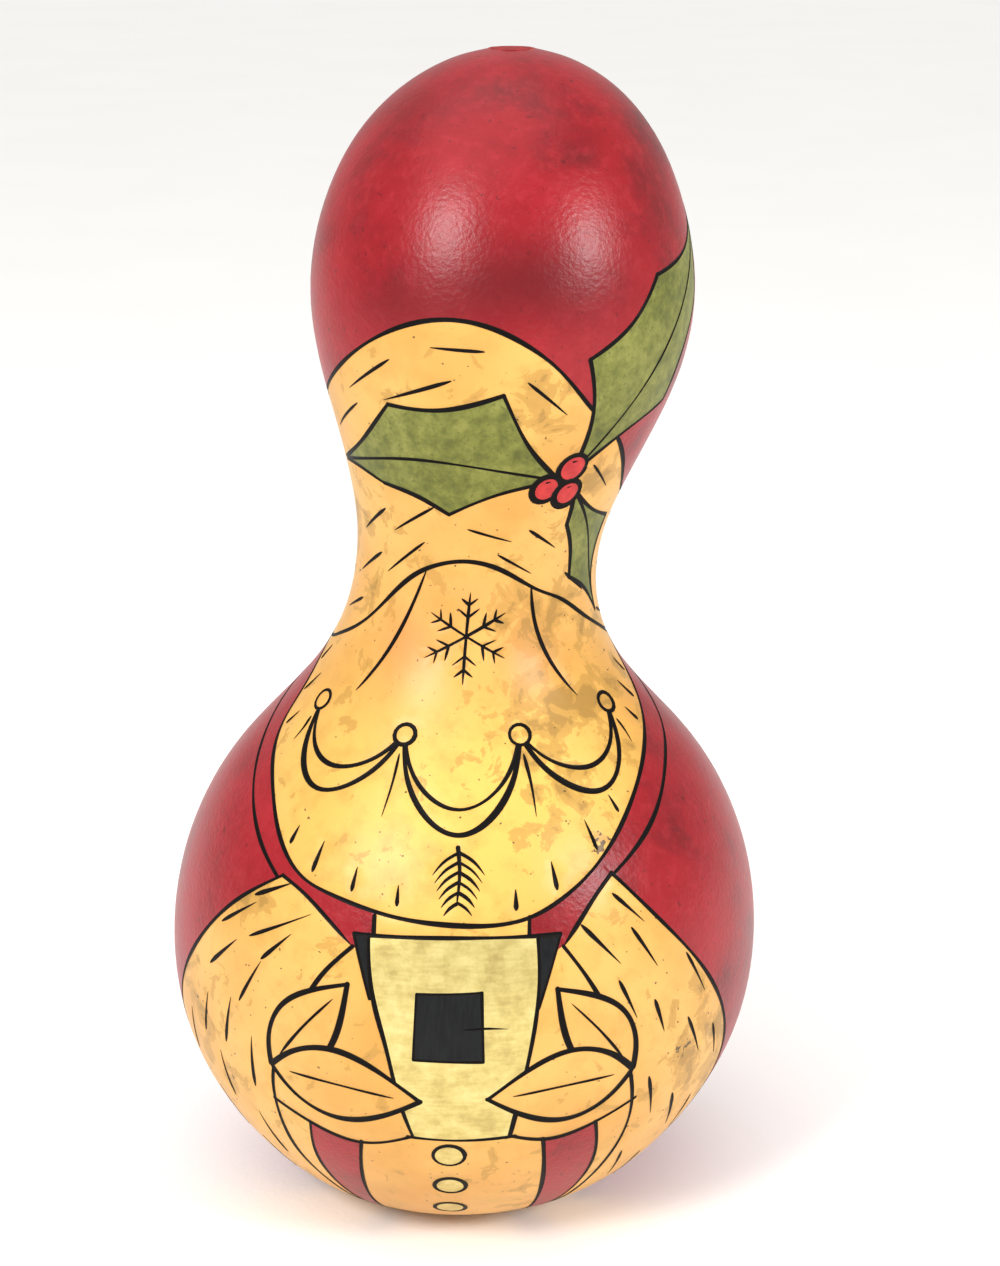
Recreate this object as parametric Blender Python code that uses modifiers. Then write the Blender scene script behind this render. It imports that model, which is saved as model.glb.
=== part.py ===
"""Dried bottle gourd, grown in one piece, standing on its flattened base.

Metres, +Z up. The origin is on the standing surface, under the middle of the
gourd's bounding box, and the decorated front faces -Y.
"""

from math import atan2, pi, sin

import bpy
import bmesh
import numpy as np

MM = 0.001

# Driving dimensions, in millimetres.
HEIGHT = 279.0
SCAR_RADIUS = 4.5
SCAR_RISE = 0.6
FOOT_RADIUS = 25.0

# Half outline of the rind, (radius, height), from the crown down to the foot.
OUTLINE = (
    (0.0, HEIGHT - SCAR_RISE),
    (27.0, 267.5),
    (42.5, 240.0),
    (44.5, 220.0),
    (36.0, 189.0),
    (29.0, 163.0),
    (33.0, 141.0),
    (57.0, 111.0),
    (68.0, 90.0),
    (72.0, 68.0),
    (69.5, 46.0),
    (55.0, 19.0),
    (38.0, 4.5),
    (FOOT_RADIUS, 0.0),
)

# The middle of the gourd wanders as it grows: (height, sideways, backwards).
GROWTH_LINE = (
    (0.0, 0.0, 0.0),
    (110.0, 1.5, 0.0),
    (160.0, 4.2, 1.0),
    (200.0, 9.5, 2.0),
    (240.0, 10.5, 4.0),
    (HEIGHT, 12.5, 8.0),
)

# It is a little shallower than wide, and very slightly three-sided.
DEPTH_RATIO = 0.98
SWELL_SHARE = 0.006

RINGS = 42
SEGMENTS = 60
MERGE_DISTANCE = 0.00001
RIND_COLOUR = (0.72, 0.42, 0.11, 1.0)
RIND_ROUGHNESS = 0.38


def smooth_curve(stations, values, wanted, level_start=False):
    """Cubic spline through values at stations, read at the wanted places.

    Its ends are free of bending, unless level_start makes the first one leave
    along the first coordinate, as the outline does where it crosses the axis.
    """
    t = np.asarray(stations, float)
    y = np.asarray(values, float)
    step = np.diff(t)
    slope = np.diff(y, axis=0) / step[:, None]
    system = np.eye(len(t))
    right = np.zeros_like(y)
    for i in range(1, len(t) - 1):
        system[i, i - 1:i + 2] = step[i - 1], 2 * (step[i - 1] + step[i]), step[i]
        right[i] = 6 * (slope[i] - slope[i - 1])
    if level_start:
        system[0, :2] = 2 * step[0], step[0]
        right[0] = 6 * (slope[0] - (1.0, 0.0))
    bend = np.linalg.solve(system, right)
    at = np.clip(np.searchsorted(t, wanted) - 1, 0, len(t) - 2)
    width = step[at][:, None]
    before = (t[at + 1] - wanted)[:, None]
    after = (wanted - t[at])[:, None]
    curve = (bend[at] * before**3 + bend[at + 1] * after**3) / (6 * width)
    curve += (y[at] / width - bend[at] * width / 6) * before
    curve += (y[at + 1] / width - bend[at + 1] * width / 6) * after
    return curve


def rind_profile():
    """Points of the half outline at even steps along it, closed by the scar and the foot."""
    outline = np.array(OUTLINE)
    along = np.concatenate(([0.0], np.cumsum(np.hypot(*np.diff(outline, axis=0).T))))
    places = np.linspace(SCAR_RADIUS + SCAR_RISE, along[-1], RINGS)
    rings = smooth_curve(along, outline, places, level_start=True)
    scar = [(0.0, HEIGHT), (SCAR_RADIUS, HEIGHT)]
    foot = [(0.0, 0.0)]
    return scar + [tuple(point) for point in rings] + foot


def turned_body(name, profile, collection):
    """The profile turned a full circle by a Screw modifier."""
    mesh = bpy.data.meshes.new(name)
    points = [(radius * MM, 0.0, height * MM) for radius, height in profile]
    edges = [(i, i + 1) for i in range(len(points) - 1)]
    mesh.from_pydata(points, edges, [])
    body = bpy.data.objects.new(name, mesh)
    collection.objects.link(body)
    screw = body.modifiers.new("turn", "SCREW")
    screw.steps = SEGMENTS
    screw.render_steps = SEGMENTS
    screw.use_merge_vertices = True
    screw.merge_threshold = MERGE_DISTANCE
    return body


def apply_modifiers(body):
    graph = bpy.context.evaluated_depsgraph_get()
    shaped = bpy.data.meshes.new_from_object(body.evaluated_get(graph))
    plain = body.data
    body.modifiers.clear()
    body.data = shaped
    bpy.data.meshes.remove(plain)


def grow(body):
    """Lets the turned body lean and swell as a grown one does, with every ring kept level."""
    heights, *middle = np.array(GROWTH_LINE).T
    level = np.array([vertex.co.z for vertex in body.data.vertices]) / MM
    lean = smooth_curve(heights, np.array(middle).T, level) * MM
    for vertex, (sideways, backwards) in zip(body.data.vertices, lean):
        x, y, z = vertex.co
        swell = 1 + SWELL_SHARE * sin(3 * atan2(y, x) + 1) * sin(pi * z / (HEIGHT * MM))
        vertex.co.x = x * swell + sideways
        vertex.co.y = y * swell * DEPTH_RATIO + backwards


def stand_over_origin(body):
    """Moves the middle of the bounding box over the origin, and the foot onto z = 0."""
    points = np.array([vertex.co for vertex in body.data.vertices])
    low, high = points.min(axis=0), points.max(axis=0)
    middle = (low + high) / 2
    for vertex in body.data.vertices:
        vertex.co.x -= middle[0]
        vertex.co.y -= middle[1]
        vertex.co.z -= low[2]


def close_up(body):
    """Welds the body into one closed shape of flat, outward facing triangles."""
    shape = bmesh.new()
    shape.from_mesh(body.data)
    bmesh.ops.remove_doubles(shape, verts=shape.verts, dist=MERGE_DISTANCE)
    bmesh.ops.triangulate(shape, faces=shape.faces)
    bmesh.ops.recalc_face_normals(shape, faces=shape.faces)
    shape.to_mesh(body.data)
    shape.free()
    body.data.shade_smooth()


def varnished_rind():
    material = bpy.data.materials.new("varnished rind")
    material.use_nodes = True
    shader = material.node_tree.nodes["Principled BSDF"]
    shader.inputs["Base Color"].default_value = RIND_COLOUR
    shader.inputs["Roughness"].default_value = RIND_ROUGHNESS
    shader.inputs["Metallic"].default_value = 0.0
    return material


def clear_scene():
    for item in list(bpy.data.objects):
        bpy.data.objects.remove(item)


def main():
    clear_scene()
    collection = bpy.data.collections.new("dried bottle gourd")
    bpy.context.scene.collection.children.link(collection)
    gourd = turned_body("gourd", rind_profile(), collection)
    apply_modifiers(gourd)
    grow(gourd)
    stand_over_origin(gourd)
    close_up(gourd)
    gourd.data.materials.append(varnished_rind())


main()
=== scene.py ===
from functools import partial
from math import cos, pi, radians, sin

import bpy
import numpy as np
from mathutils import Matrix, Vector, kdtree
from mathutils.geometry import delaunay_2d_cdt


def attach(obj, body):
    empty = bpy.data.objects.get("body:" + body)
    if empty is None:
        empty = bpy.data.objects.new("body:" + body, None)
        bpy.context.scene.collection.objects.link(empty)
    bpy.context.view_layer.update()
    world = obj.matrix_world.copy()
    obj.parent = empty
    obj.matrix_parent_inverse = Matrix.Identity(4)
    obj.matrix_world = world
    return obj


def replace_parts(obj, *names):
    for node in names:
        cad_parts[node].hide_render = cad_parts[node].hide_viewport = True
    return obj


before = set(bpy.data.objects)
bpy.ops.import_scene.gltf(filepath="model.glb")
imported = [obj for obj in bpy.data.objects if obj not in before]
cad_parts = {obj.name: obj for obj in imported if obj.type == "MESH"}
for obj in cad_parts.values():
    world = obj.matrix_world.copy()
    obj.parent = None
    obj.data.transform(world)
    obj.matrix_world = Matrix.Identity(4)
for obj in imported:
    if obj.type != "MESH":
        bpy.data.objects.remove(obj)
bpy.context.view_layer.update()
mm = 0.001

# The gourd's skin is worked out flat: across is the angle round the gourd (0 faces front),
# up is a height coordinate stretched so that shapes keep their angles.
# Places are written as (degrees round, millimetres up).

formSettings = {
    "waves": 4,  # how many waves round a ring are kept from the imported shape
    "tableStep": 0.5,  # mm along the profile
    "inset": 0.12,  # mm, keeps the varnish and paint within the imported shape
    "swell": 0.14,  # mm, slow hollows of a dried rind, inwards only
}


def smoothCurve(stations, values, wanted):
    # natural cubic spline through the stations
    t, y = np.asarray(stations, float), np.asarray(values, float)
    step = np.diff(t)
    slope = np.diff(y, axis=0) / step[:, None]
    system, right = np.eye(len(t)), np.zeros_like(y)
    for i in range(1, len(t) - 1):
        system[i, i - 1:i + 2] = step[i - 1], 2 * (step[i - 1] + step[i]), step[i]
        right[i] = 6 * (slope[i] - slope[i - 1])
    bend = np.linalg.solve(system, right)
    at = np.clip(np.searchsorted(t, wanted) - 1, 0, len(t) - 2)
    width = step[at][:, None]
    before, after = (t[at + 1] - wanted)[:, None], (wanted - t[at])[:, None]
    curve = (bend[at] * before**3 + bend[at + 1] * after**3) / (6 * width)
    curve += (y[at] / width - bend[at] * width / 6) * before
    return curve + (y[at + 1] / width - bend[at + 1] * width / 6) * after


def runLength(points):
    # distance along a row of points
    return np.concatenate([[0], np.cumsum(np.linalg.norm(np.diff(points, axis=0), axis=1))])


def waveTerms(theta, waves):
    terms = [np.ones_like(theta)]
    for k in range(1, waves + 1):
        terms += [np.cos(k * theta), np.sin(k * theta)]
    return np.stack(terms, axis=-1)


def readForm(node, settings):
    points = np.array([v.co for v in node.data.vertices]) / mm
    level = np.round(points[:, 2], 2)
    rows = []
    for height in np.unique(level):
        ring = np.unique(np.round(points[level == height], 3), axis=0)
        out = ring[:, :2] - ring[:, :2].mean(axis=0)
        rim = np.hypot(*out.T) > 3  # leaves out a cap's middle point
        middle = ring[rim, :2].mean(axis=0)
        out = ring[rim, :2] - middle
        theta = np.arctan2(out[:, 0], -out[:, 1])
        terms = np.linalg.lstsq(waveTerms(theta, settings["waves"]), np.hypot(*out.T), rcond=None)[0]
        rows.append([height, *middle, *terms])
    rows = np.array(rows[:-1])  # the last ring is the stem scar's
    along = runLength(rows[:, [3, 0]])
    s = np.arange(0, along[-1], settings["tableStep"])
    table = smoothCurve(along, rows, s)
    stretch = np.concatenate([[0], np.cumsum(np.diff(s) * 2 / (table[1:, 3] + table[:-1, 3]))])
    print("form:", len(rows), "rings,", round(along[-1]), "mm from foot to scar")
    return {"v": stretch, "z": table[:, 0], "middle": table[:, 1:3], "terms": table[:, 3:]}


form = readForm(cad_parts["gourd"], formSettings)
topV = form["v"][-1]


def radiusAt(v):
    return np.interp(v, form["v"], form["terms"][:, 0])


def heightToV(height):
    return np.interp(height, form["z"], form["v"])


def skinPoint(theta, v):
    theta, v = np.asarray(theta, float), np.asarray(v, float)
    terms = np.stack([np.interp(v, form["v"], c) for c in form["terms"].T], axis=-1)
    radius = (terms * waveTerms(theta, formSettings["waves"])).sum(axis=-1)
    x, y = (np.interp(v, form["v"], c) for c in form["middle"].T)
    z = np.interp(v, form["v"], form["z"])
    hollow = np.sin(3 * theta + 5 * v) + np.sin(5 * theta - 3.1 * v + 1) + np.sin(2 * theta + 9.3 * v + 2)
    radius = radius - formSettings["inset"] - formSettings["swell"] * (3 + hollow) / 6
    return np.stack([x + radius * np.sin(theta), y - radius * np.cos(theta), z], axis=-1)


def skinNormal(theta, v):
    small = 0.004  # radians
    low, high = np.maximum(v - small, 0), np.minimum(v + small, topV)
    across = skinPoint(theta + small, v) - skinPoint(theta - small, v)
    normal = np.cross(across, skinPoint(theta, high) - skinPoint(theta, low))
    return normal / np.linalg.norm(normal, axis=-1, keepdims=True)


def flat(places):
    # (degrees, mm up) to the flat skin
    places = np.asarray(places, float)
    return np.column_stack([np.radians(places[:, 0]), heightToV(places[:, 1])])


def near(place, offsets, turn=0, mirror=1):
    # offsets in mm (right, up) from a place, turned by degrees
    centre = flat([place])[0]
    x, y = np.asarray(offsets, float).T
    c, s = cos(radians(turn)), sin(radians(turn))
    turned = np.column_stack([mirror * (x * c - y * s), x * s + y * c])
    return centre + turned / radiusAt(centre[1])


def realLength(path):
    # mm from the start of a path on the flat skin
    real = np.diff(path, axis=0) * radiusAt((path[1:, 1] + path[:-1, 1]) / 2)[:, None]
    return np.concatenate([[0], np.cumsum(np.linalg.norm(real, axis=1))])


def stroke(knots, step=1.2):
    # points along a row of knots on the flat skin, about step mm apart and closer at the ends
    knots = np.asarray(knots, float)
    along = runLength(knots)
    t = np.linspace(0, along[-1], 24 * len(knots))
    if len(knots) > 2:
        dense = smoothCurve(along, knots, t)
    else:
        dense = np.column_stack([np.interp(t, along, c) for c in knots.T])
    length = realLength(dense)
    total = length[-1]
    wanted = np.linspace(0, total, max(3, int(total / step) + 2))
    tip = np.array([0.12, 0.35, 0.7])
    tip = tip[tip < total / 3]
    wanted = np.sort(np.concatenate([wanted, tip, total - tip]))
    wanted = wanted[np.append(True, np.diff(wanted) > 0.08)]
    wanted[-1] = total
    return np.column_stack([np.interp(wanted, length, c) for c in dense.T])


def loopStroke(places):
    # a line right round the gourd; the places run from -180 to 180 and end as they begin
    step = 1.1
    knots = flat(places)
    turn = 2 * pi
    wrapped = np.concatenate([knots[-4:-1] - [turn, 0], knots, knots[1:4] + [turn, 0]])
    count = int(turn * radiusAt(knots[:, 1]).mean() / step)
    theta = np.linspace(-pi, pi, count)
    line = np.column_stack([theta, smoothCurve(wrapped[:, 0], wrapped[:, 1:], theta)[:, 0]])
    line[-1, 1] = line[0, 1]
    return line


# Fields of colour are closed outlines on the flat skin, and a later one covers an earlier one.

fields = []
lines = []
penSettings = {
    "outline": 1.0,  # mm wide
    "bold": 1.3,
    "fine": 0.7,
    "dash": 1.1,
    "taper": 5.0,  # mm over which a free end thins out
    "wander": 0.3,  # share by which a hand-held pen's line varies
    "depth": 0.16,  # mm burned away along the middle
    "full": 0.45,  # mm, the half width that is burned to the full depth
    "tip": 0.03,  # mm, half widths below this are a point
    "berry": 1.35,
    "overrun": 0.3,  # share of a dash's length that it trails past its end
    "landing": 0.2,  # share of it over which the dash swells
}


def inside(points, outline):
    found = np.zeros(len(points), bool)
    low, high = outline.min(axis=0), outline.max(axis=0)
    maybe = np.flatnonzero(((points >= low) & (points <= high)).all(axis=1))
    if not len(maybe):
        return found
    x, y = points[maybe].T
    hit = np.zeros(len(maybe), bool)
    for (x0, y0), (x1, y1) in zip(outline, np.roll(outline, -1, axis=0)):
        if y0 != y1:
            hit ^= ((y0 > y) != (y1 > y)) & (x < (x1 - x0) * (y - y0) / (y1 - y0) + x0)
    found[maybe] = hit
    return found


def addField(piece, *edges):
    # the edges follow on from each other round the field; gives the layer its own lines belong to
    fields.append({"piece": piece, "outline": np.concatenate(edges)})
    return len(fields)


def lengthened(path, extra):
    # runs a path on past its last point by extra mm
    ahead = path[-1] - path[-2]
    ahead = ahead / np.linalg.norm(ahead) * extra / radiusAt(path[-1, 1])
    return np.concatenate([path, [path[-1] + ahead * 0.4, path[-1] + ahead * 0.8, path[-1] + ahead]])


def coveredBy(layer, path):
    # which points of the path lie under a field that comes after the layer
    covered = np.zeros(len(path), bool)
    for field in fields[layer:]:
        covered |= inside(path, field["outline"])
    return covered


def burn(path, width, layer, ends="round round", dash=False):
    # draws with the hot pen along the path, except where a later field covers it
    ends = ["dash"] * 2 if dash else ends.split()
    if ends[1] == "round":
        path = lengthened(path, width / 2)
    if ends[0] == "round":
        path = lengthened(path[::-1], width / 2)[::-1]
    covered = coveredBy(layer, path)
    crossings = []
    for i in np.flatnonzero(covered[1:] != covered[:-1]):
        # one more point is added just where the path goes under a field
        clear, under = (path[i], path[i + 1])[::-1 if covered[i] else 1]
        for _ in range(6):
            between = (clear + under) / 2
            clear, under = (clear, between) if coveredBy(layer, between[None])[0] else (between, under)
        crossings.append((i + 1, clear))
    for i, clear in crossings[::-1]:
        path, covered = np.insert(path, i, clear, axis=0), np.insert(covered, i, False)
    apart = np.append(True, np.linalg.norm(np.diff(path, axis=0), axis=1) > 1e-5)
    path, covered = path[apart], covered[apart]
    length = realLength(path)
    total = length[-1]
    phase = 2.3 * len(lines)
    drift = np.sin(length / 5.7 + phase) * np.sin(length / 13 + 1.7 * phase)
    half = 0.5 * width * (1 + penSettings["wander"] * drift)
    if dash:  # fat where the pen lands, then trailing off
        landed = np.clip(length / (penSettings["landing"] * total), 0, 1)
        half *= np.sqrt(landed) * (1 - length / total)**0.6
    for end, away in zip(ends, (length, total - length)):
        if end == "free":
            half *= np.clip(away / min(penSettings["taper"], total / 2), 0, 1)**0.55
        if end == "round":
            half *= np.sqrt(1 - (1 - np.clip(2 * away / width, 0, 1))**2)
    shown = np.flatnonzero(~covered)
    for run in np.split(shown, np.flatnonzero(np.diff(shown) > 1) + 1):
        if len(run) > 2:
            lines.append({"path": path[run], "half": half[run]})


def burnDash(start, end):
    # a flick of the pen, which trails off a little past its end
    start, end = flat([start, end])
    trail = end + penSettings["overrun"] * (end - start)
    burn(stroke([start, trail], step=1.6), penSettings["dash"], len(fields), dash=True)


def circle(place, radius, middle=(0, 0)):
    turn = np.linspace(0, 2 * pi, max(12, int(6 * radius)) + 1)
    return near(place, np.column_stack([np.cos(turn), np.sin(turn)]) * radius + middle)


print("stage: fields of dye and paint")

crownEdge = loopStroke([(-180, 196), (-140, 192), (-105, 196), (-80, 202), (-60, 210), (-39, 219.5),
                        (-21, 224.5), (-6, 224), (6, 220), (18, 213), (30, 204), (45, 196), (58, 188),
                        (68, 182), (78, 178), (95, 176), (120, 180), (150, 190), (180, 196)])
bandEdge = loopStroke([(-180, 146), (-140, 143), (-110, 141), (-90, 140.5), (-78, 143), (-53, 151),
                       (-32, 162), (-18, 166), (-9, 167), (10, 165), (31, 159), (44, 156), (62, 150),
                       (80, 144.5), (95, 141), (120, 142), (150, 145), (180, 146)])
footEdge = loopStroke([(a, 2.4) for a in range(-180, 181, 30)])
bibEdge = stroke(flat([(-100, 140.7), (-88, 136), (-80, 131), (-73, 124), (-54, 113), (-42, 104),
                       (-34, 99.5), (-28, 98), (-12, 95), (-1, 94), (14, 95), (20, 97.5), (28, 102),
                       (45, 113), (66, 123), (82, 130), (100, 141)]))
topCorners = np.array([[pi, topV + 1], [-pi, topV + 1]])

# A garland of three double swags hangs from four round pegs.
garlandSettings = {
    "pegs": ((-60, 131), (-20, 129), (18, 129), (57, 131)),
    "dips": (116.5, 111.5, 116.5), "thick": 4.6, "ring": 2.5, "tassels": (6, 13, 13, 6),
}
pegs = garlandSettings["pegs"]
pegRings = [circle(place, garlandSettings["ring"]) for place in pegs]

layer = {}
layer["crown"] = addField("redCrown", crownEdge, topCorners)
overRight = bandEdge[bandEdge[:, 0] > bibEdge[-1, 0]]
overLeft = bandEdge[bandEdge[:, 0] < bibEdge[0, 0]]
coat = addField("redCoat", footEdge, overRight[::-1], bibEdge[::-1], overLeft[::-1])
for ring in pegRings:
    layer["pegs"] = addField("rind", ring)

# The two side fields mirror each other only roughly, as hand-drawn ones do.
sides = {
    "left": {
        "outer": [(-40, 99), (-50, 91), (-61, 77), (-69, 64), (-76, 50), (-80, 36), (-78, 22), (-70, 10),
                  (-62, 2.4)],
        "top": [(-40, 99), (-34, 97), (-28, 93.5), (-21, 88)],
        "inner": [(-21, 88), (-27, 80), (-31, 71), (-35, 62), (-38, 52), (-39, 41), (-39, 28), (-36, 15),
                  (-34, 2.4)],
        "hem": [(-31, 41), (-33, 30), (-33, 16), (-29.5, 2.4)],
        "scallop": [(-39, 45), (-31, 41), (-21, 38), (-9, 42)],
        "strap": [(-21, 90.7), (-17.4, 91), (-16.8, 77)],
        "panel": [(-18, 91), (-16.3, 78), (-13.5, 66), (-11.5, 54), (-9, 42)],
        "front": [(-20, 38.3), (-23, 24), (-27.5, 2.4)],
        "petals": {"base": (-38, 55), "turns": [(50, 32, 15), (-4, 38, 19)]},
    },
    "right": {
        "outer": [(33, 101), (42, 89), (53, 73), (62, 56), (67, 40), (66, 24), (60, 10), (53, 2.4)],
        "top": [(33, 101), (29, 98), (25, 94), (20, 88)],
        "inner": [(20, 88), (24, 81), (28, 72), (32, 61), (35, 50), (36.5, 40), (36, 26), (34, 14),
                  (31, 2.4)],
        "hem": [(28, 42), (31, 30), (31.5, 16), (27.5, 2.4)],
        "scallop": [(36.5, 46), (28, 42), (18, 39.5), (10, 42)],
        "strap": [(19.6, 90.7), (14.8, 91), (14.6, 75)],
        "panel": [(15, 91), (14.6, 78), (13.2, 66), (11.5, 54), (10, 42)],
        "front": [(17, 39.8), (19.5, 26), (24, 2.4)],
        "petals": {"base": (34.5, 55), "turns": [(50, 31, 15), (-3, 36, 19)]},
    },
}
edges = {name: {part: stroke(flat(places)) for part, places in parts.items() if part != "petals"}
         for name, parts in sides.items()}
for name, edge in edges.items():
    low = edge["scallop"][np.abs(edge["scallop"][:, 0]) < abs(edge["hem"][0, 0])]
    addField("rind", edge["outer"], edge["hem"][::-1], low, flat([(0, 44), (0, 86)]), edge["top"][::-1])
addField("rind", edges["left"]["front"], edges["right"]["front"][::-1], flat([(8, 43), (-8, 43)]))
layer["sides"] = addField("rind", flat([(-17, 90), (-17, 96), (13.5, 95.5), (13.5, 90)]))
for name in sides:
    layer["straps"] = addField("blackStraps", flat(sides[name]["strap"]))
layer["panel"] = addField("goldPanel", edges["left"]["panel"], edges["right"]["panel"][::-1])
squareEdges = [flat(pair) for pair in (((-8, 79), (4, 79.5)), ((4, 79.5), (4.4, 63)),
                                       ((4.4, 63), (-8.4, 63.4)), ((-8.4, 63.4), (-8, 79)))]
layer["square"] = addField("blackSquare", *squareEdges)


def petalEdges(base, turn, length, width, mirror):
    # two bowed edges of a petal that meet at its base and tip
    shape = np.array([(0, 0), (0.16, 0.3), (0.45, 0.5), (0.8, 0.27), (1, 0)]) * (length, width)
    return [stroke(near(base, shape * (1, way), turn, mirror)) for way in (1, -1)]


petals = []
for name, parts in sides.items():
    mirror = 1 if name == "left" else -1
    for turn, length, width in parts["petals"]["turns"]:
        upper, lower = petalEdges(parts["petals"]["base"], turn, length, width, mirror)
        vein = stroke(near(parts["petals"]["base"], np.array([(0.14, 0), (0.5, 0.03), (0.84, 0)])
                           * (length, width), turn, mirror))
        petals.append((addField("rind", upper, lower[::-1]), upper, lower, vein))

dots = [circle(place, 3.7) for place in ((-2, 36), (-2, 24.5), (-2.5, 13.5))]
for dot in dots:
    layer["dots"] = addField("goldDots", dot)

# A leaf is a bowed midrib with spines on either side: (share along the midrib, mm out).
leaves = {
    "lower": {"midrib": [(34, 184), (54, 172), (77, 149)], "up": [(0.45, 7.5)], "down": [(0.2, 5), (0.6, 8)]},
    "right": {"midrib": [(31, 188), (46, 202), (61, 218), (89, 243)],
              "up": [(0.3, 19), (0.62, 14)], "down": [(0.36, 14.5), (0.72, 9)]},
    "left": {"midrib": [(26, 186.5), (0, 190), (-30, 191.5), (-55, 189), (-78, 186)],
             "up": [(0.27, 17.5), (0.58, 13)], "down": [(0.36, 14.5), (0.7, 6.5)]},
}


def leafEdges(midrib, spines, way):
    # hollow edges from the base over each spine to the tip
    rib = stroke(flat(midrib))
    share = realLength(rib) / realLength(rib)[-1]
    run = np.gradient(rib, axis=0)
    out = np.column_stack([-run[:, 1], run[:, 0]]) / np.linalg.norm(run, axis=1, keepdims=True)
    corners = [rib[0]]
    for at, width in spines:
        i = np.searchsorted(share, at)
        corners.append(rib[i] + way * out[i] * width / radiusAt(rib[i, 1]))
    corners.append(rib[-1])
    hollow = []
    for a, b in zip(corners, corners[1:]):
        chord = b - a
        dip = np.array([chord[1], -chord[0]]) * 0.07 * way
        hollow.append(stroke([a, (a + b) / 2 + dip, b]))
    return hollow


leafStrokes = {}
for name, leaf in leaves.items():
    way = 1 if leaf["midrib"][-1][0] > leaf["midrib"][0][0] else -1
    up, down = leafEdges(leaf["midrib"], leaf["up"], way), leafEdges(leaf["midrib"], leaf["down"], -way)
    layer[name] = addField("greenLeaves", *up, *[e[::-1] for e in down[::-1]])
    leafStrokes[name] = up + down
berries = [circle((28, 186), 3.5, middle) for middle in ((-3.6, -1.6), (1.5, 3.2), (2.6, -3.6))]
for i, berry in enumerate(berries):
    layer["berry%d" % i] = addField("redBerries", berry)

print("stage: burned lines")
wide, bold, fine = penSettings["outline"], penSettings["bold"], penSettings["fine"]

burn(crownEdge, wide, layer["crown"], "seam seam")
burn(bandEdge, wide, coat, "seam seam")
burn(footEdge, fine, coat, "seam seam")
burn(bibEdge, wide, layer["sides"])
for places in ([(-41.5, 98.5), (-48, 102.5), (-62, 111.5), (-76, 119), (-98, 127), (-125, 133), (-155, 136),
                (-180, 136.5)],
               [(34, 101), (48, 108), (66, 117), (80, 122), (100, 129), (128, 134), (155, 136),
                (180, 136.5)]):
    burn(stroke(flat(places)), wide, coat, "round seam")
for name, edge in edges.items():
    for part in ("outer", "top", "inner", "hem", "front", "scallop"):
        burn(edge[part], wide, layer["sides"], "round free" if part == "top" else "round round")
    burn(edge["panel"], wide, layer["panel"])
for places in ([(-17, 91), (-17.3, 95)], [(13.3, 91), (13.6, 95)], [(-10, 41.8), (0, 41.2), (11, 41.8)]):
    burn(stroke(flat(places)), wide, layer["panel"])
burn(stroke(flat([(-21, 90.7), (-2, 91.4), (19.6, 90.7)])), wide, layer["panel"])
for name in sides:
    burn(stroke(flat(sides[name]["strap"][::2])), fine, layer["straps"])
for part in squareEdges:
    burn(stroke(part), fine, layer["square"])
burn(stroke(flat([(0.5, 71), (4.5, 71.2), (9, 70.8)])), fine, layer["square"], "free free")
for above, upper, lower, vein in petals:
    burn(upper, bold, above)
    burn(lower, bold, above)
    burn(vein, fine, above, "free free")
for dot in dots:
    burn(dot, wide, layer["dots"], "seam seam")
for name, leaf in leaves.items():
    for part in leafStrokes[name]:
        burn(part, wide, layer[name])
    burn(stroke(flat(leaf["midrib"])), fine, layer[name], "free free")
for i, berry in enumerate(berries):
    burn(berry, penSettings["berry"], layer["berry%d" % i], "seam seam")
    highest = berry[len(berry) // 4]
    burn(stroke([highest - (0.028, 0.05), highest - (-0.012, 0.045)]), fine, len(fields), dash=True)

# Short strokes along the band, at (degrees round, share of the way down it, mm long)
bandDashes = [(-45, 0.08, 10), (-27, 0.19, 12), (-13, 0.08, 8), (-62, 0.14, 10), (15, 0.12, 7),
              (-56, 0.57, 9), (-32, 0.7, 10), (3, 0.83, 10), (28, 0.72, 8), (-60, 0.74, 9), (-36, 0.86, 10),
              (17, 0.93, 9), (-71, 0.88, 8), (54, 0.83, 8), (47, 0.2, 7)]
for row, share in enumerate((0.16, 0.34, 0.52, 0.7, 0.87)):
    for k in range(6):
        angle = 88 + 32 * k + 14 * (row % 2) + 3 * sin(5 * k + row)
        bandDashes.append((angle, share, 7 + sin(3 * k + row)))
for angle, share, size in bandDashes:
    angle = (angle + 180) % 360 - 180
    if abs(angle) < 168:
        middle = radians(angle)
        theta = middle + np.array([-0.5, 0.5]) * size / 28
        top, low = (np.interp(theta, *edge.T) for edge in (crownEdge, bandEdge))
        v = (1 - share) * top + share * low
        path = stroke(np.column_stack([theta, v])[::1 if angle > 0 else -1], step=1.6)
        burn(path, penSettings["dash"], layer["crown"], dash=True)

# Short strokes on the side fields, from where the pen lands to where it lifts
sideDashes = [
    ((32, 97), (37, 91)), ((24, 92), (30, 84)), ((35, 89), (39, 81)), ((48, 79), (52, 70)),
    ((31, 78), (34, 70)), ((39, 71), (41, 64)), ((48, 63), (52, 54)), ((57, 57), (60, 49)),
    ((39, 51), (42, 41)), ((48, 42), (52, 32)), ((58, 36), (59, 27)), ((40, 27), (43, 18)),
    ((51, 21), (52, 13)), ((-46, 93), (-39, 97)), ((-54, 84), (-47, 90)), ((-45, 84), (-34, 91)),
    ((-41, 80), (-36, 86)), ((-56, 73), (-50, 80)), ((-46, 68), (-42, 77)), ((-59, 54), (-57, 63)),
    ((-51, 55), (-49, 65)), ((-44, 46), (-43, 57)), ((-54, 38), (-54, 48)), ((-68, 44), (-66, 54)),
    ((-45, 24), (-46, 34)), ((-62, 24), (-63, 33)), ((-53, 14), (-54, 22)), ((-70, 22), (-72, 30)),
]
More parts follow.
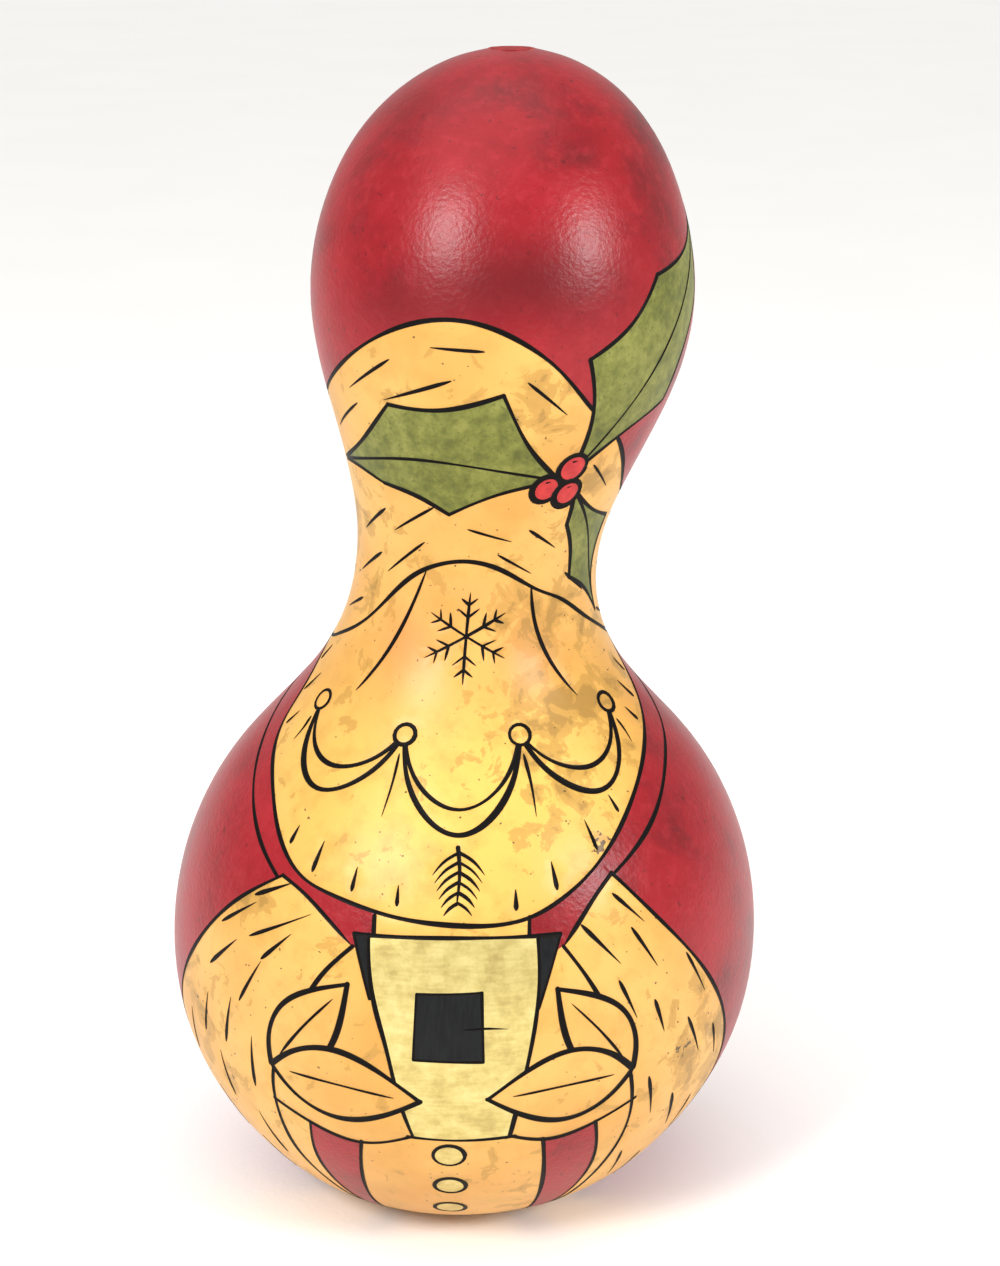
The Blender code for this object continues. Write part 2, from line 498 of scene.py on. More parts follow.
for start, end in sideDashes:
    burnDash(start, end)

# A six-armed frost star, the garland and a fir sprig on the bib
starSettings = {"place": (-2, 149.5), "arm": 10.5, "barbs": ((0.42, 3.4), (0.7, 2.6))}
arm = starSettings["arm"]
for turn in range(30, 390, 60):
    burn(stroke(near(starSettings["place"], [(0, 0), (arm, 0)], turn)), fine, coat, "round free")
    for at, reach in starSettings["barbs"]:
        for way in (1, -1):
            tip = (arm * at + reach * 0.62, way * reach * 0.78)
            barb = near(starSettings["place"], [(arm * at, 0), tip], turn)
            burn(stroke(barb, step=0.9), fine, coat, "round free")
for places in ([(-24, 164.5), (-29, 156), (-37, 145), (-46, 135)],
               [(27, 160.5), (30, 152), (36, 143), (45, 134)]):
    burn(stroke(flat(places)), wide, coat, "free free")

for (a, h), (b, k), dip in zip(pegs, pegs[1:], garlandSettings["dips"]):
    for lift in (0, garlandSettings["thick"]):
        low = dip + lift
        bow = [(a, h), (a * 0.85 + b * 0.15, 0.45 * h + 0.55 * low), ((a + b) / 2, low),
               (a * 0.15 + b * 0.85, 0.45 * k + 0.55 * low), (b, k)]
        burn(stroke(flat(bow)), wide if lift else bold, coat)
for place, ring, size in zip(pegs, pegRings, garlandSettings["tassels"]):
    burn(ring, wide, layer["pegs"], "seam seam")
    tassel = near(place, [(0, -4.5), (0.3, -4.5 - size / 2), (0, -4.5 - size)])
    burn(stroke(tassel), wide, coat, dash=True)

sprigSettings = {"top": (-1, 109.3), "stem": 12.5, "needles": 6}
stem = near(sprigSettings["top"], [(0, 0), (0.5, -5), (0, -sprigSettings["stem"])])
burn(stroke(stem), wide, coat, "round free")
for k in range(sprigSettings["needles"]):
    down = -1.2 - k * sprigSettings["stem"] * 0.17
    for way in (1, -1):
        reach = 5.6 - 0.55 * k
        needle = [(0.3, down), (0.3 + way * reach * 0.55, down - reach * 0.34),
                  (0.3 + way * reach, down - reach * 0.9)]
        burn(stroke(near(sprigSettings["top"], needle)), fine, coat, "round free")

# Fringe strokes a little inside the bib's edge: (degrees round, mm long, degrees of lean)
fringeGap = 2.4  # mm
bibTheta, bibV = bibEdge.T
for angle, size, lean in ((-84, 6, -30), (-77, 7, -24), (-70, 5, -18), (-41, 5, -8), (-33, 8, -6),
                          (-23, 6, -3), (-13, 5, 2), (11, 5, -2), (20, 7, 4), (31, 8, 8), (40, 5, 10),
                          (67, 5, 20), (75, 7, 24), (84, 6, 30)):
    theta = radians(angle)
    v = np.interp(theta, bibTheta, bibV)
    start = np.array([theta, v + fringeGap / radiusAt(v)])
    way = np.array([sin(radians(-lean)), cos(radians(lean))]) / radiusAt(v)
    burn(stroke([start, start + way * size]), penSettings["dash"], coat, dash=True)

print("  ", len(lines), "strokes,", round(sum(realLength(line["path"])[-1] for line in lines)), "mm in all")

print("stage: skin mesh")

skinSettings = {
    "grid": 3.4,  # mm between the plain skin's points
    "share": 0.085,  # of the local radius, where that is closer
    "finest": 0.8,
    "clear": 1.3,  # mm kept free of grid points beside a stroke
    "scale": 50,  # flat units to the net's own
    "merge": 0.003,
}


def spacingAt(v):
    return np.clip(skinSettings["share"] * radiusAt(v), skinSettings["finest"], skinSettings["grid"])


strokePlaces, strokeHalf = [], []
for line in lines:
    index = np.arange(len(line["half"]))
    finer = np.linspace(0, index[-1], 4 * len(index))
    strokePlaces.append(np.column_stack([np.interp(finer, index, c) for c in line["path"].T]))
    strokeHalf.extend(np.interp(finer, index, line["half"]))
strokePlaces = np.concatenate(strokePlaces)
strokeTree = kdtree.KDTree(len(strokePlaces))
for i, p in enumerate(skinPoint(*strokePlaces.T)):
    strokeTree.insert(p, i)
strokeTree.balance()


def besideStrokes(points):
    # mm from the edge of the nearest stroke
    found = [strokeTree.find(p) for p in points]
    return np.array([f[2] - strokeHalf[f[1]] for f in found])


def depthInStrokes(points):
    # 0 at a stroke's edge and 1 along its middle, then the share of the full depth burned there
    cores, grooves = [], []
    for p in points:
        found = [(strokeHalf[i], away) for _, i, away in strokeTree.find_range(p, 1)]
        shares = [(half, max(0, 1 - away / max(half, 0.05))) for half, away in found]
        cores.append(max((core for half, core in shares), default=0))
        grooves.append(max((core * (2 - core) * min(1, half / penSettings["full"])
                            for half, core in shares), default=0))
    return np.array(cores), np.array(grooves)


netPoints, netEdges = [], []


def addRun(points):
    # a row of net points joined by edges
    first = len(netPoints)
    netPoints.extend(points)
    netEdges.extend((first + i, first + i + 1) for i in range(len(points) - 1))
    return np.arange(first, first + len(points))


ribbons = []
for line in lines:
    path, half = line["path"], line["half"]
    run = np.gradient(path, axis=0)
    if np.allclose(path[0], path[-1]):
        run[0] = run[-1] = path[1] - path[-2]
    out = np.column_stack([-run[:, 1], run[:, 0]]) / np.linalg.norm(run, axis=1, keepdims=True)
    atSeam = np.abs(np.abs(path[:, 0]) - pi) < 1e-9
    out[atSeam] = np.column_stack([np.zeros(atSeam.sum()), np.sign(out[atSeam, 1])])
    middle = addRun(path)
    wideEnough = half > penSettings["tip"]
    out *= (half * wideEnough / radiusAt(path[:, 1]))[:, None]
    for way in (1, -1):
        beside = middle.copy()
        beside[wideEnough] = len(netPoints) + np.arange(wideEnough.sum())
        netPoints.extend((path + way * out)[wideEnough])
        netEdges.extend(zip(beside[:-1], beside[1:]))
    ribbons.append(np.concatenate([path + out, (path - out)[::-1]]))
for part in squareEdges + [flat(parts["strap"][k:k + 2]) for parts in sides.values() for k in (0, 1)]:
    addRun(stroke(part))

rows = [0]
while rows[-1] < topV:
    rows.append(rows[-1] + 0.87 * spacingAt(rows[-1]) / radiusAt(rows[-1]))
rows = np.array(rows) * topV / rows[-1]
grid = []
for k, v in enumerate(rows):
    count = int(2 * pi * radiusAt(v) / spacingAt(v))
    theta = -pi + (np.arange(count) + (k % 2) / 2) * 2 * pi / count
    theta = theta[np.abs(theta) < pi - 1.2 / count]
    if k in (0, len(rows) - 1):
        addRun([(-pi, v), *[(t, v) for t in theta], (pi, v)])
    else:
        grid.append(np.column_stack([theta, np.full(len(theta), v)]))
grid = np.concatenate(grid)
clear = skinSettings["clear"] * np.minimum(1, spacingAt(grid[:, 1]) / 2.4)
netPoints.extend(grid[besideStrokes(skinPoint(*grid.T)) > clear])
for theta in (-pi, pi):
    addRun([(theta, v) for v in rows])

scale = skinSettings["scale"]
net = delaunay_2d_cdt([Vector((x * scale, y * scale)) for x, y in netPoints],
                      [(int(a), int(b)) for a, b in netEdges], [], 0, skinSettings["merge"])
flatPoints = np.array([tuple(p) for p in net[0]]) / scale
skinFaces = np.array([tuple(f) for f in net[2]])
theta, v = flatPoints.T
atBorder = np.abs(theta) > pi - 1e-5
theta[atBorder] = np.sign(theta[atBorder]) * pi
a, b, c = (flatPoints[skinFaces[:, k]] for k in range(3))
area = (b[:, 0] - a[:, 0]) * (c[:, 1] - a[:, 1]) - (b[:, 1] - a[:, 1]) * (c[:, 0] - a[:, 0])
skinFaces = skinFaces[np.abs(area) > 1e-12]
middles = flatPoints[skinFaces].mean(axis=1)

faceField = np.full(len(skinFaces), -1)
for i, field in enumerate(fields):
    faceField[inside(middles, field["outline"])] = i
burned = np.zeros(len(skinFaces), bool)
for ribbon in ribbons:
    burned |= inside(middles, ribbon)

leftSeam, rightSeam = (np.flatnonzero(atBorder & (theta * way > 0)) for way in (-1, 1))
leftSeam, rightSeam = leftSeam[np.argsort(v[leftSeam])], rightSeam[np.argsort(v[rightSeam])]
joined = np.arange(len(theta))
joined[rightSeam] = leftSeam
skinFaces = joined[skinFaces]
print("  ", len(theta), "points,", len(skinFaces), "faces, seam", len(leftSeam), len(rightSeam))

skin = skinPoint(theta, v)
normals = skinNormal(theta, v)
lineCore, groove = depthInStrokes(skin)
skin = skin - normals * (penSettings["depth"] * groove)[:, None]


def addObject(name, data):
    added = bpy.data.objects.new(name, data)
    bpy.context.scene.collection.objects.link(added)
    return added


sharpDegrees = 35


def newPiece(name, points, faces, material, attributes=None):
    # an object with its mesh in metres, which rides on the gourd's body
    mesh = bpy.data.meshes.new(name)
    mesh.from_pydata((np.asarray(points) * mm).tolist(), [], [list(map(int, f)) for f in faces])
    for label, values in (attributes or {}).items():
        mesh.attributes.new(label, "FLOAT", "POINT").data.foreach_set("value", np.asarray(values, np.float32))
    mesh.materials.append(material)
    mesh.polygons.foreach_set("use_smooth", np.ones(len(mesh.polygons), bool))
    mesh.set_sharp_from_angle(angle=radians(sharpDegrees))
    mesh.update()
    piece = addObject(name, mesh)
    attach(piece, "root")
    return piece


def layerPiece(name, chosen, lift, sink, material, attributes=None):
    # a thin closed layer over the chosen faces, lift mm proud and sink mm into the skin
    faces = skinFaces[chosen]
    used, faces = np.unique(faces, return_inverse=True)
    faces = faces.reshape(-1, 3)
    count = len(used)
    top, under = skin[used] + normals[used] * lift, skin[used] - normals[used] * sink
    sidesOf = np.concatenate([faces[:, [0, 1]], faces[:, [1, 2]], faces[:, [2, 0]]])
    keys = sidesOf[:, 0] * count + sidesOf[:, 1]
    rim = sidesOf[~np.isin(sidesOf[:, 1] * count + sidesOf[:, 0], keys)]
    walls = np.column_stack([rim[:, 1], rim[:, 0], rim[:, 0] + count, rim[:, 1] + count])
    allFaces = [*faces.tolist(), *(faces[:, ::-1] + count).tolist(), *walls.tolist()]
    both = {label: np.tile(values[used], 2) for label, values in (attributes or {}).items()}
    return newPiece(name, np.concatenate([top, under]), allFaces, material, both)


def cap(points, faces, ring, shape):
    # closes a ring of the skin with smaller rings at (share of its radius, mm up)
    middle = points[ring].mean(axis=0)
    previous = ring
    up = 1 if middle[2] > 100 else -1
    for share, lift in shape:
        start = len(points)
        inner = middle + (points[ring] - middle) * share + (0, 0, lift)
        points = np.concatenate([points, inner])
        now = np.arange(start, start + len(ring))
        for i in range(len(ring)):
            j = (i + 1) % len(ring)
            faces.append([previous[i], previous[j], now[j], now[i]][::up])
        previous = now
    faces.append(list(previous[::up]))
    return points, faces


print("stage: materials")


def toLinear(code):
    # an sRGB hex colour as linear red, green, blue, alpha
    parts = [int(code[i:i + 2], 16) / 255 for i in (1, 3, 5)]
    return (*[p / 12.92 if p <= 0.04045 else ((p + 0.055) / 1.055)**2.4 for p in parts], 1)


def addNode(tree, kind, settings=None, links=None, stops=None, output=0):
    # adds a node and gives one of its outputs; settings in lower case are the node's own,
    # others are its inputs, and stops fill a colour ramp
    node = tree.nodes.new("ShaderNode" + kind)
    for name, value in (settings or {}).items():
        if isinstance(name, str) and name[0].islower():
            setattr(node, name, value)
        else:
            node.inputs[name].default_value = toLinear(value) if isinstance(value, str) else value
    for name, socket in (links or {}).items():
        tree.links.new(socket, node.inputs[name])
    if stops:
        ramp = node.color_ramp.elements
        while len(ramp) < len(stops):
            ramp.new(1)
        for element, (at, colour) in zip(ramp, stops):
            element.position = at
            element.color = toLinear(colour) if isinstance(colour, str) else (colour, colour, colour, 1)
    return node.outputs[output] if node.outputs else None


def startMaterial(name):
    # gives the material, addNode for its tree, and the link that places a texture on the gourd
    material = bpy.data.materials.new(name)
    material.use_nodes = True
    material.node_tree.nodes.clear()
    add = partial(addNode, material.node_tree)
    return material, add, {"Vector": add("TexCoord", output="Object")}


def perMm(size):
    # a noise scale whose features are about size mm across
    return 1000 / size


def finishMaterial(add, colour, bump, grain, roughness, settings):
    # the roughness runs from its first value to its second as the grain goes from 0 to 1
    gloss = add("MapRange", {"To Min": roughness[0], "To Max": roughness[1]}, {"Value": grain})
    shader = add("BsdfPrincipled", settings, {"Base Color": colour, "Roughness": gloss, "Normal": bump})
    add("OutputMaterial", None, {"Surface": shader})


def wavyPeel(add, place, s):
    # slow waves of the rind under the fine orange peel of its varnish
    wave = add("TexNoise", {"Scale": perMm(s["waveMm"])}, place)
    peel = add("TexNoise", {"Scale": perMm(s["peelMm"])}, place)
    waved = add("Bump", {"Distance": s["waveDeepMm"] * mm}, {"Height": wave})
    return add("Bump", {"Distance": s["peelDeepMm"] * mm}, {"Height": peel, "Normal": waved})


# Calabash rind, dried, scraped and varnished: golden skin with crisp-edged mould stains under a satin coat.
rindSettings = {
    "golden": "#CB9040", "honey": "#DAA657", "pale": "#DDB556", "blush": "#D9854A", "ochre": "#BD8E3F",
    "stain": "#AC8238", "deepStain": "#8E6A2E", "speck": "#3C2818",
    "cloudMm": 30, "ochreMm": 7, "stainMm": 8, "speckMm": 1.3,
    "waveMm": 9, "waveDeepMm": 0.12, "peelMm": 1.0, "peelDeepMm": 0.03,
}
rind, add, place = startMaterial("varnishedCalabashRind")
s = rindSettings
cloud = add("TexNoise", {"Scale": perMm(s["cloudMm"])}, place)
tone = add("ValToRGB", None, {"Fac": cloud}, [(0.32, s["golden"]), (0.62, s["honey"])])
# The paler patch over the bib is partly the rind's own paler tone and partly painted highlight on the chest.
for label in ("pale", "blush"):
    patch = add("Attribute", {"attribute_name": label}, output="Fac")
    tone = add("MixRGB", {"Color2": s[label]}, {"Fac": patch, "Color1": tone})
ochre = add("TexNoise", {"Scale": perMm(s["ochreMm"]), "Detail": 5, "Roughness": 0.6}, place)
ochreFade = add("ValToRGB", None, {"Fac": ochre}, [(0.47, 0.0), (0.7, 0.55)])
tone = add("MixRGB", {"Color2": s["ochre"]}, {"Fac": ochreFade, "Color1": tone})
stain = add("TexNoise",
            {"Scale": perMm(s["stainMm"]), "Detail": 6, "Roughness": 0.62, "Distortion": 0.5}, place)
mould = add("Attribute", {"attribute_name": "mould"}, output="Fac")
stained = add("Math", {"operation": "MULTIPLY_ADD", 1: 0.23}, {0: mould, 2: stain})
for label, stops in (("stain", [(0.61, 0.0), (0.63, 0.6), (0.8, 0.75)]),
                     ("deepStain", [(0.7, 0.0), (0.725, 0.5)])):
    edge = add("ValToRGB", None, {"Fac": stained}, stops)
    tone = add("MixRGB", {"Color2": s[label]}, {"Fac": edge, "Color1": tone})
speck = add("TexNoise", {"Scale": perMm(s["speckMm"]), "Detail": 1}, place)
cluster = add("Attribute", {"attribute_name": "cluster"}, output="Fac")
specked = add("Math", {"operation": "MULTIPLY_ADD", 1: 0.3}, {0: cluster, 2: speck})
speckEdge = add("ValToRGB", None, {"Fac": specked}, [(0.745, 0.0), (0.775, 0.85)])
colour = add("MixRGB", {"Color2": s["speck"]}, {"Fac": speckEdge, "Color1": tone})
bump = wavyPeel(add, place, s)
finishMaterial(add, colour, bump, stain, (0.34, 0.46), {"IOR": 1.5, "Specular IOR Level": 0.4})

# Calabash rind stained with red leather dye and varnished: cloudy where it soaked in unevenly, with a fine
# orange peel.
redSettings = {
    "cloud": "#640A12", "red": "#8B0B17", "bright": "#9C1520", "pit": "#3A050A", "worn": "#AA2830",
    "cloudMm": 28, "mottleMm": 2.6, "pitMm": 1.5,
    "waveMm": 10, "waveDeepMm": 0.12, "peelMm": 1.05, "peelDeepMm": 0.1,
}
redRind, add, place = startMaterial("redDyedCalabashRind")
s = redSettings
cloud = add("TexNoise",
            {"Scale": perMm(s["cloudMm"]), "Detail": 4, "Roughness": 0.62, "Distortion": 0.3}, place)
tone = add("ValToRGB", None, {"Fac": cloud}, [(0.28, s["cloud"]), (0.46, s["red"]), (0.72, s["bright"])])
mottle = add("TexNoise", {"Scale": perMm(s["mottleMm"]), "Detail": 4, "Roughness": 0.6}, place)
mottleFade = add("ValToRGB", None, {"Fac": mottle}, [(0.5, 0.0), (0.8, 0.45)])
mottled = add("MixRGB", {"Color2": s["worn"]}, {"Fac": mottleFade, "Color1": tone})
pit = add("TexNoise", {"Scale": perMm(s["pitMm"])}, place)
pitFade = add("ValToRGB", None, {"Fac": pit}, [(0.66, 0.0), (0.74, 0.5)])
pitted = add("MixRGB", {"Color2": s["pit"]}, {"Fac": pitFade, "Color1": mottled})
# Darker dye clouds; the widest, across the crown's lower front, is partly a dye cloud and partly painted
# shade.
dark = add("Attribute", {"attribute_name": "dark"}, output="Fac")
colour = add("MixRGB", {"Color2": s["cloud"]}, {"Fac": dark, "Color1": pitted})
bump = wavyPeel(add, place, s)
finishMaterial(add, colour, bump, mottle, (0.28, 0.4), {"IOR": 1.5, "Specular IOR Level": 0.34})

# Calabash rind stained with green leather dye: olive, freckled where the dye pooled in the pores.
greenSettings = {
    "deep": "#52561F", "green": "#6A6D2B", "light": "#82823E",
    "poolMm": 3.2, "cloudMm": 22, "freckleMm": 0.9,
}
greenRind, add, place = startMaterial("greenDyedCalabashRind")
s = greenSettings
cloud = add("TexNoise", {"Scale": perMm(s["cloudMm"])}, place)
pool = add("TexNoise", {"Scale": perMm(s["poolMm"]), "Detail": 5, "Roughness": 0.65}, place)
both = add("Math", {"operation": "MULTIPLY_ADD", 1: 0.6}, {0: cloud, 2: pool})
tone = add("ValToRGB", None, {"Fac": both}, [(0.6, s["deep"]), (0.78, s["green"]), (0.98, s["light"])])
freckle = add("TexNoise", {"Scale": perMm(s["freckleMm"]), "Detail": 1}, place)
freckleFade = add("ValToRGB", None, {"Fac": freckle}, [(0.6, 0.0), (0.72, 0.6)])
colour = add("MixRGB", {"Color2": s["deep"]}, {"Fac": freckleFade, "Color1": tone})
bump = add("Bump", {"Distance": 0.00003}, {"Height": freckle})
finishMaterial(add, colour, bump, pool, (0.4, 0.52), {"IOR": 1.5, "Specular IOR Level": 0.3})

# Metallic gold acrylic, brushed on thin: the brush's hairs leave streaks and the ground shows through.
goldSettings = {"gold": "#CCB974", "bright": "#DBCB88", "thin": "#B8A363", "streakMm": 0.9, "patchMm": 6}
gold, add, place = startMaterial("brushedGoldAcrylic")
s = goldSettings
along = add("Mapping", {"Scale": (0.16, 0.16, 1)}, place)
streak = add("TexNoise", {"Scale": perMm(s["streakMm"]), "Detail": 3, "Roughness": 0.6}, {"Vector": along})
patch = add("TexNoise", {"Scale": perMm(s["patchMm"]), "Detail": 4, "Roughness": 0.7}, place)
both = add("Math", {"operation": "MULTIPLY_ADD", 1: 0.35}, {0: streak, 2: patch})
colour = add("ValToRGB", None, {"Fac": both}, [(0.5, s["thin"]), (0.66, s["gold"]), (0.84, s["bright"])])
bump = add("Bump", {"Distance": 0.00003}, {"Height": streak})
finishMaterial(add, colour, bump, patch, (0.38, 0.55), {"Metallic": 0.75})

# Black acrylic, brushed on: a cool soft black with faint brush marks.
blackSettings = {"black": "#08090B", "grey": "#121416", "streakMm": 0.8, "patchMm": 4}
black, add, place = startMaterial("brushedBlackAcrylic")
s = blackSettings
along = add("Mapping", {"Scale": (1, 1, 0.12)}, place)
streak = add("TexNoise", {"Scale": perMm(s["streakMm"]), "Detail": 3}, {"Vector": along})
colour = add("ValToRGB", None, {"Fac": streak}, [(0.35, s["black"]), (0.72, s["grey"])])
patch = add("TexNoise", {"Scale": perMm(s["patchMm"])}, place)
bump = add("Bump", {"Distance": 0.00005}, {"Height": streak})
finishMaterial(add, colour, bump, patch, (0.35, 0.5), {"IOR": 1.49, "Specular IOR Level": 0.2})

# Rind charred by a hot wire pen, under varnish: near black in the groove, scorched brown along its edges.
charSettings = {"scorched": "#1C0F07", "charred": "#0C0705", "soot": "#070504", "grainMm": 0.8}
char, add, place = startMaterial("charredRindLine")
s = charSettings
grain = add("TexNoise", {"Scale": perMm(s["grainMm"])}, place)
core = add("Attribute", {"attribute_name": "core"}, output="Fac")
burnt = add("Math", {"operation": "MULTIPLY_ADD", 1: 0.5}, {0: grain, 2: core})
colour = add("ValToRGB", None, {"Fac": burnt},
             [(0.15, s["scorched"]), (0.5, s["charred"]), (1.0, s["soot"])])
bump = add("Bump", {"Distance": 0.00004}, {"Height": grain})
finishMaterial(add, colour, bump, grain, (0.4, 0.6), {"IOR": 1.5, "Specular IOR Level": 0.1})

# Red acrylic dabbed on the berries: opaque, a little brighter than the dye, with soft brush ridges.
berrySettings = {"red": "#A81C20", "bright": "#BE2E2C", "dabMm": 2.0}
berryRed, add, place = startMaterial("dabbedRedAcrylic")
s = berrySettings
dab = add("TexNoise", {"Scale": perMm(s["dabMm"])}, place)
colour = add("ValToRGB", None, {"Fac": dab}, [(0.35, s["red"]), (0.7, s["bright"])])
bump = add("Bump", {"Distance": 0.00006}, {"Height": dab})
finishMaterial(add, colour, bump, dab, (0.3, 0.42), {"IOR": 1.49, "Specular IOR Level": 0.35})

# Corky scar where the stem was cut, sanded and dyed over: dry, pitted and a browner red.
corkSettings = {"dark": "#7C1418", "brown": "#A02226", "fibreMm": 0.7, "pitMm": 1.6}
scar, add, place = startMaterial("sandedStemScar")
s = corkSettings
fibre = add("TexNoise", {"Scale": perMm(s["fibreMm"]), "Detail": 4}, place)
pit = add("TexNoise", {"Scale": perMm(s["pitMm"]), "Detail": 3}, place)
both = add("Math", {"operation": "MULTIPLY"}, {0: fibre, 1: pit})
colour = add("ValToRGB", None, {"Fac": both}, [(0.14, s["dark"]), (0.36, s["brown"])])
bump = add("Bump", {"Distance": 0.0003}, {"Height": both})
finishMaterial(add, colour, bump, fibre, (0.7, 0.9), {"IOR": 1.45})

# Matt paper sweep of the studio: nearly white, with a faint tooth.
paperSettings = {"white": "#FDFCFA", "shade": "#FBFAF8", "cloudMm": 160, "toothMm": 1.5}
paper, add, place = startMaterial("mattPaperSweep")
s = paperSettings
cloud = add("TexNoise", {"Scale": perMm(s["cloudMm"])}, place)
colour = add("ValToRGB", None, {"Fac": cloud}, [(0.3, s["shade"]), (0.7, s["white"])])
tooth = add("TexNoise", {"Scale": perMm(s["toothMm"]), "Detail": 1}, place)
bump = add("Bump", {"Distance": 0.00004}, {"Height": tooth})
finishMaterial(add, colour, bump, cloud, (0.85, 0.95), {"IOR": 1.45})

print("stage: pieces")

# Soft patches on the skin: (degrees round, mm up, mm across, mm high, strength)
patches = {
    # the paler patch over the bib is partly the rind's own tone and partly painted highlight
    "pale": [(0, 118, 44, 26, 1.0), (-10, 204, 20, 10, 0.3)],
    "blush": [(-31, 147, 8, 9, 0.75), (27, 146, 8, 9, 0.8), (-3, 158, 10, 5, 0.25)],
    "mould": [(15, 206, 9, 9, 1.0), (-34, 207, 8, 6, 0.5), (45, 140, 22, 16, 0.7), (26, 122, 12, 14, 0.7),
              (30, 158, 14, 9, 0.5), (58, 52, 18, 20, 0.9), (-58, 55, 16, 20, 0.5), (40, 186, 14, 8, 0.7),
              (20, 24, 14, 12, 0.5), (-66, 170, 16, 20, 0.5), (-47, 93, 5, 4, 0.9),
              (150, 166, 40, 26, 0.6)],
    "cluster": [(32, 107, 3.4, 3, 1.0), (48, 55, 4, 2.6, 0.9), (-58, 60, 3, 2.4, 0.5),
                (120, 160, 3, 3, 0.7)],
    # the widest dark patch, across the crown's lower front, is partly a dye cloud and partly painted shade;
    # the rest are dye clouds
    "dark": [(8, 233, 22, 10, 0.95), (-32, 226, 16, 8, 0.5), (-50, 268, 10, 5, 0.45),
             (24, 262, 9, 4, 0.4), (-120, 230, 16, 10, 0.5), (140, 90, 26, 18, 0.5)],
}
patchValues = {}
for label, spots in patches.items():
    value = np.zeros(len(theta))
    for angle, height, wide, high, strength in spots:
        centre = flat([(angle, height)])[0]
        turn = (theta - centre[0] + pi) % (2 * pi) - pi
        r = radiusAt(centre[1])
        value += strength * np.exp(-(turn * r / wide)**2 - ((v - centre[1]) * r / high)**2)
    patchValues[label] = np.clip(value, 0, 1)

rindPoints, rindFaces = skin.copy(), skinFaces.tolist()
lowRing = np.flatnonzero((v < 1e-6) & (joined == np.arange(len(v))))
highRing = np.flatnonzero((v > topV - 1e-5) & (joined == np.arange(len(v))))
lowRing, highRing = (ring[np.argsort(theta[ring])] for ring in (lowRing, highRing))
footCap = [(0.9, 0), (0.6, 0), (0.2, 0), (0.12, 0.5), (0.05, 0.9)]
rindPoints, rindFaces = cap(rindPoints, rindFaces, lowRing, footCap)
rindPoints, rindFaces = cap(rindPoints, rindFaces, highRing, [(0.7, 0.12), (0.35, 0.22)])
extra = len(rindPoints) - len(skin)
keptPoints, remap = np.unique(np.concatenate([np.ravel(f) for f in rindFaces]), return_inverse=True)
sizes = [len(f) for f in rindFaces]
rindFaces = np.split(remap.ravel(), np.cumsum(sizes)[:-1])
rindValues = {label: np.concatenate([value, np.zeros(extra)])[keptPoints]
              for label, value in patchValues.items() if label != "dark"}
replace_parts(newPiece("gourdRind", rindPoints[keptPoints], rindFaces, rind, rindValues), "gourd")

pieceOf = np.array([field["piece"] for field in fields] + ["rind"])[faceField]
layerSink = 0.12  # mm below the skin
layers = [  # piece, material, slot, mm proud of the skin
    ("redCrown", redRind, "red_dye", 0.03), ("redCoat", redRind, "red_dye", 0.03),
    ("greenLeaves", greenRind, "green_dye", 0.03), ("redBerries", berryRed, "red_dye", 0.07),
    ("goldPanel", gold, "gold_paint", 0.07), ("goldDots", gold, "gold_paint", 0.07),
    ("blackSquare", black, "black_paint", 0.11), ("blackStraps", black, "black_paint", 0.07),
]
for name, material, slot, lift in layers:
    chosen = (pieceOf == name) & ~burned
    # the dark patches carry dye clouds and, on the crown's lower front, painted shade
    layerPiece(name, chosen, lift, layerSink, material, {"dark": patchValues["dark"]})
lineLift, lineSink = 0.06, 0.25
layerPiece("burnedLines", burned, lineLift, lineSink, char, {"core": lineCore})

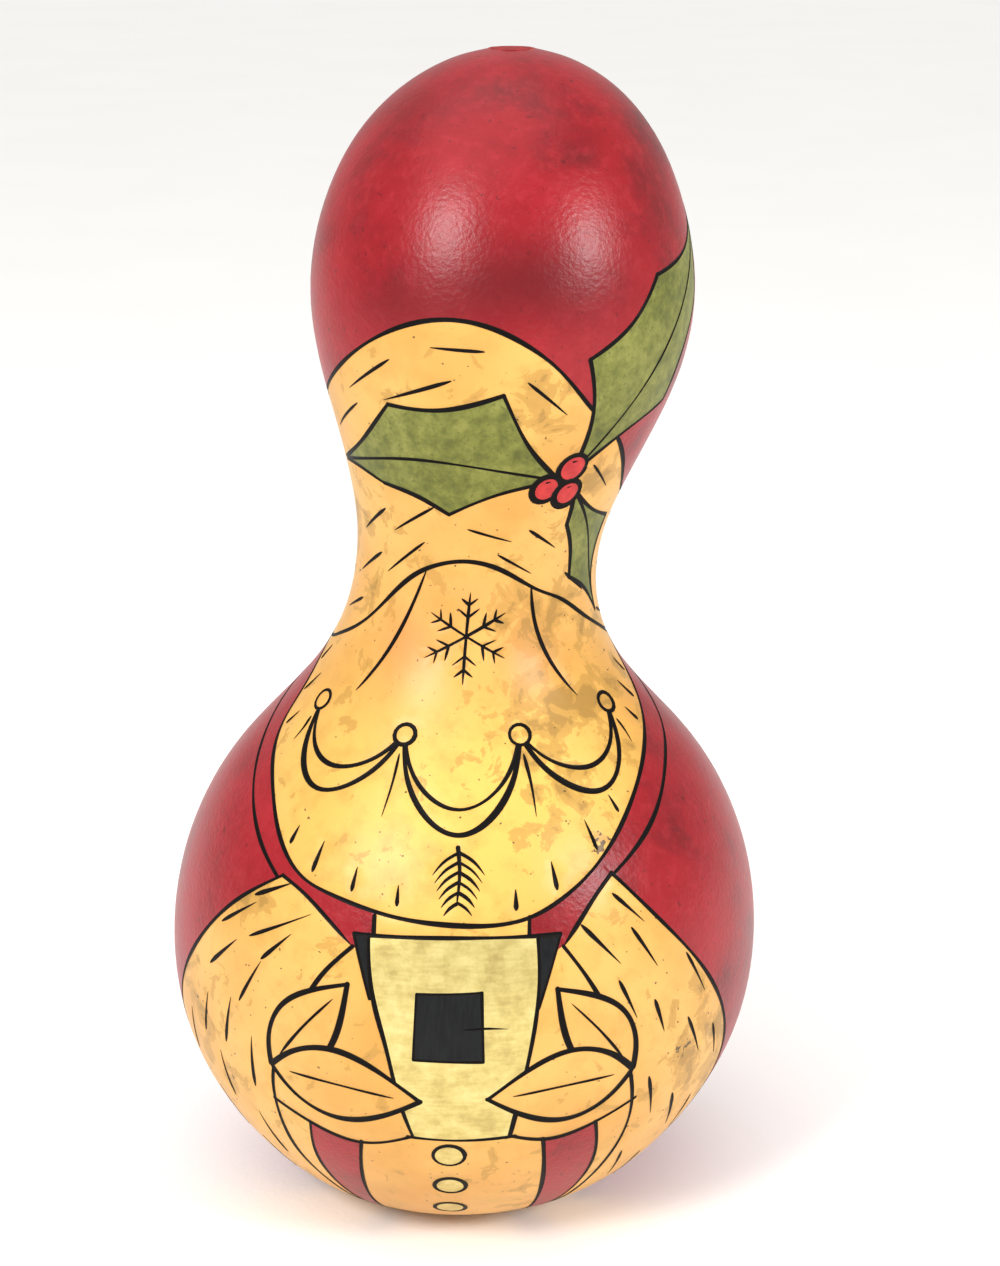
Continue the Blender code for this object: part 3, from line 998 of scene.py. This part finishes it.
# The stem scar is a low ragged disc, nearly flush with the crown.
scarSettings = {
    "around": 40,
    "rings": [(5.1, 277.7), (5.25, 278), (5.0, 278.1), (4, 278.18), (2.6, 278.24), (1.2, 278.2)],
}
count = scarSettings["around"]
turn = np.arange(count) * 2 * pi / count
ragged = 1 + 0.03 * np.sin(3 * turn) + 0.02 * np.sin(7 * turn + 1) + 0.012 * np.sin(13 * turn)
around = np.column_stack([ragged * np.cos(turn), ragged * np.sin(turn)])
top = form["middle"][-1]
scarPoints = np.array([[*(top + radius * side), height]
                       for radius, height in scarSettings["rings"] for side in around])
scarFaces = [list(range(count))[::-1], list(range(len(scarPoints) - count, len(scarPoints)))]
for k in range(len(scarSettings["rings"]) - 1):
    for i in range(count):
        j = (i + 1) % count
        scarFaces.append([k * count + i, k * count + j, (k + 1) * count + j, (k + 1) * count + i])
newPiece("stemScar", scarPoints, scarFaces, scar)

print("stage: studio")

cameraSettings = {"aim": (0.0088, 0, 0.1412), "distance": 0.62, "pitch": 18, "lens": 73.4}
pitch = radians(cameraSettings["pitch"])
back = Vector((0, -cos(pitch), sin(pitch)))
camera = addObject("camera", bpy.data.cameras.new("camera"))
camera.location = Vector(cameraSettings["aim"]) + back * cameraSettings["distance"]
camera.rotation_euler = back.to_track_quat("Z", "Y").to_euler()
camera.data.lens = cameraSettings["lens"]
camera.data.sensor_width = 36
camera.data.clip_start = 0.01
bpy.context.scene.camera = camera

sheet = bpy.data.meshes.new("paperSweep")
far = 12
corners = [(-far, -far, 0), (far, -far, 0), (far, far, 0), (-far, far, 0)]
sheet.from_pydata(corners, [], [(0, 1, 2, 3)])
sheet.materials.append(paper)
addObject("paperSweep", sheet)

# (degrees round, degrees up, metres away, metres wide and high, watts)
lights = {
    "keySoftbox": (-37, 35, 1.15, (0.3, 0.34), 8.4),
    "fillSoftbox": (55, 26, 1.2, (0.27, 0.29), 7.6),
}
for name, (angle, up, away, size, power) in lights.items():
    lamp = bpy.data.lights.new(name, "AREA")
    lamp.shape, lamp.energy = "RECTANGLE", power
    lamp.size, lamp.size_y = size
    box = addObject(name, lamp)
    a, e = radians(angle), radians(up)
    way = Vector((sin(a) * cos(e), -cos(a) * cos(e), sin(e)))
    box.location = Vector(cameraSettings["aim"]) + way * away
    box.rotation_euler = way.to_track_quat("Z", "Y").to_euler()

# A wide skylight keeps the paper pale as far as it reaches.
sky = bpy.data.lights.new("skylight", "SUN")
sky.energy, sky.angle = 1.1, radians(70)
addObject("skylight", sky).rotation_euler = (radians(6), radians(-8), 0)

world = bpy.data.worlds.new("paleRoom")
world.use_nodes = True
background = world.node_tree.nodes["Background"]
background.inputs["Color"].default_value = toLinear("#FBFAF8")
background.inputs["Strength"].default_value = 0.62
bpy.context.scene.world = world
bpy.context.scene.view_settings.view_transform = "Standard"
